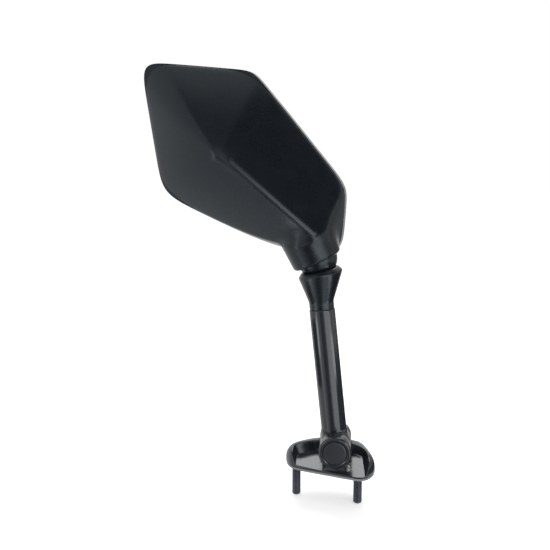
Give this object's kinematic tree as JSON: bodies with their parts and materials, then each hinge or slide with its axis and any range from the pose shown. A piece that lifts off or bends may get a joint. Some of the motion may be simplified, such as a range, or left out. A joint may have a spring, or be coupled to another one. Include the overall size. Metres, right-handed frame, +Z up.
{
  "type": "motorcycle mirror",
  "caption": "Motorcycle fairing mirror: angular matte head on a ball joint, leaning round arm with rubber boot, folding knuckle on a studded cast base.",
  "frame": {"origin": "midway between the two studs, on the underside of the gasket that lies on the fairing", "axes": "+X to the right as seen from the front of the motorcycle, +Y along the fold hinge from front to back (towards the rider, the way the glass faces), +Z up along the studs; the line of the studs is turned 12 degrees from X"},
  "size_m": [0.1621, 0.0511, 0.3],
  "materials": {
    "shell_plastic": "fine grained moulding, matte black",
    "gloss_metal": "gloss black paint over a casting",
    "cap_plastic": "satin black plug",
    "boot_rubber": "smooth matte black rubber",
    "gasket_rubber": "dull rubber sheet",
    "dark_steel": "blackened steel",
    "liner_plastic": "plain bearing plastic",
    "pad_foam": "closed cell foam",
    "silvered_glass": "silvered convex glass"
  },
  "bodies": {
    "base": {"base_casting": "gloss_metal", "base_gasket": "gasket_rubber", "stud_left": "dark_steel", "stud_right": "dark_steel", "pivot_bolt": "dark_steel", "pivot_cap": "cap_plastic", "disc_spring_front": "dark_steel", "disc_spring_rear": "dark_steel", "friction_washer_front": "dark_steel", "friction_washer_rear": "dark_steel", "nut_washer": "dark_steel", "pivot_nut": "dark_steel"},
    "arm": {"arm": "gloss_metal", "boot": "boot_rubber", "ball_stud": "dark_steel", "lock_nut": "dark_steel"},
    "lower_liner": {"lower_liner": "liner_plastic"},
    "upper_liner": {"upper_liner": "liner_plastic"},
    "head": {"housing": "shell_plastic", "socket_cup": "shell_plastic", "pressure_cup": "liner_plastic", "pressure_spring": "dark_steel", "preload_ring": "dark_steel", "glass_carrier": "shell_plastic", "carrier_screw_1": "dark_steel", "carrier_screw_2": "dark_steel", "carrier_screw_3": "dark_steel", "carrier_screw_4": "dark_steel", "glass_pad": "pad_foam", "mirror_glass": "silvered_glass", "glass_seal": "boot_rubber"}
  },
  "joints": [
    {"name": "fold", "type": "hinge", "parent": "base", "child": "arm", "pos_m": [0.0057, 0.0055, 0.01625], "axis": [0, 1, 0], "range_deg": [-40, 50]},
    {"name": "swivel", "type": "hinge", "parent": "arm", "child": "lower_liner", "pos_m": [-0.00845, 0.0055, 0.14648], "axis": [-0.108, 0, 0.9942], "range_deg": [-25, 25]},
    {"name": "tilt_side", "type": "hinge", "parent": "lower_liner", "child": "upper_liner", "pos_m": [-0.00845, 0.0055, 0.14648], "axis": [0, 1, 0], "range_deg": [-7, 12]},
    {"name": "tilt_fore", "type": "hinge", "parent": "upper_liner", "child": "head", "pos_m": [-0.00845, 0.0055, 0.14648], "axis": [1, 0, 0], "range_deg": [-10, 10]}
  ]
}
